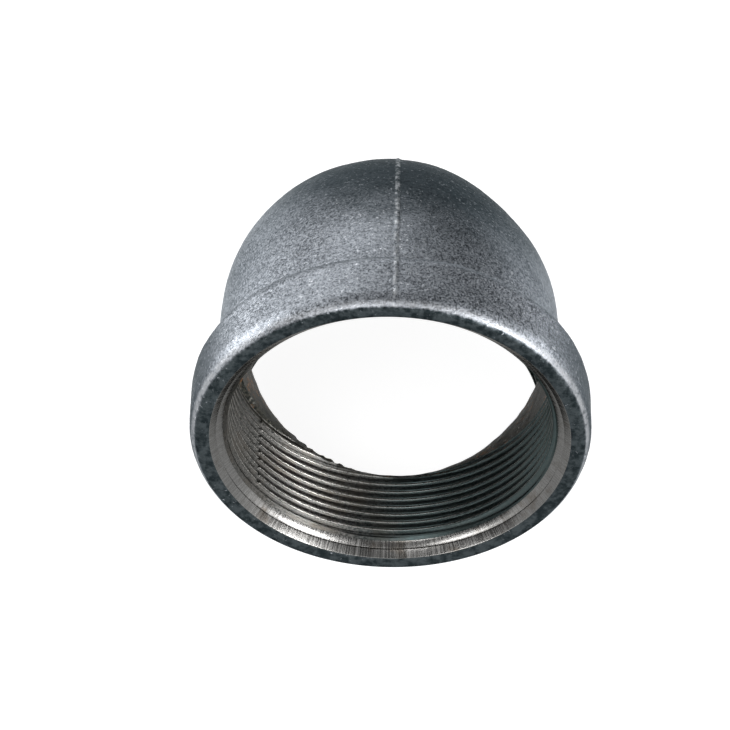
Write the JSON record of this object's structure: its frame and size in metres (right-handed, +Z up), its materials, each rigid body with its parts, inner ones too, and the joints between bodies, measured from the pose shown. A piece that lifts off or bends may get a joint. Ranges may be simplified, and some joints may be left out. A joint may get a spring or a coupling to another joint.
{
  "type": "pipe elbow",
  "caption": "Equal 90 degree pipe elbow, cast in one piece and galvanised, with an internal pipe thread and a plain round band at each end.",
  "frame": {"origin": "centre of the lower port's end face", "axes": "+Z up along the lower port's axis, away from its end face; the front port faces -Y; the bend lies in the plane x = 0"},
  "size_m": [0.09, 0.1054, 0.1054],
  "materials": {
    "galvanised_iron": "hot-dip galvanised sand casting, threads and mouths cut bright"
  },
  "bodies": {
    "root": {"elbow_casting": "galvanised_iron"}
  },
  "joints": []
}
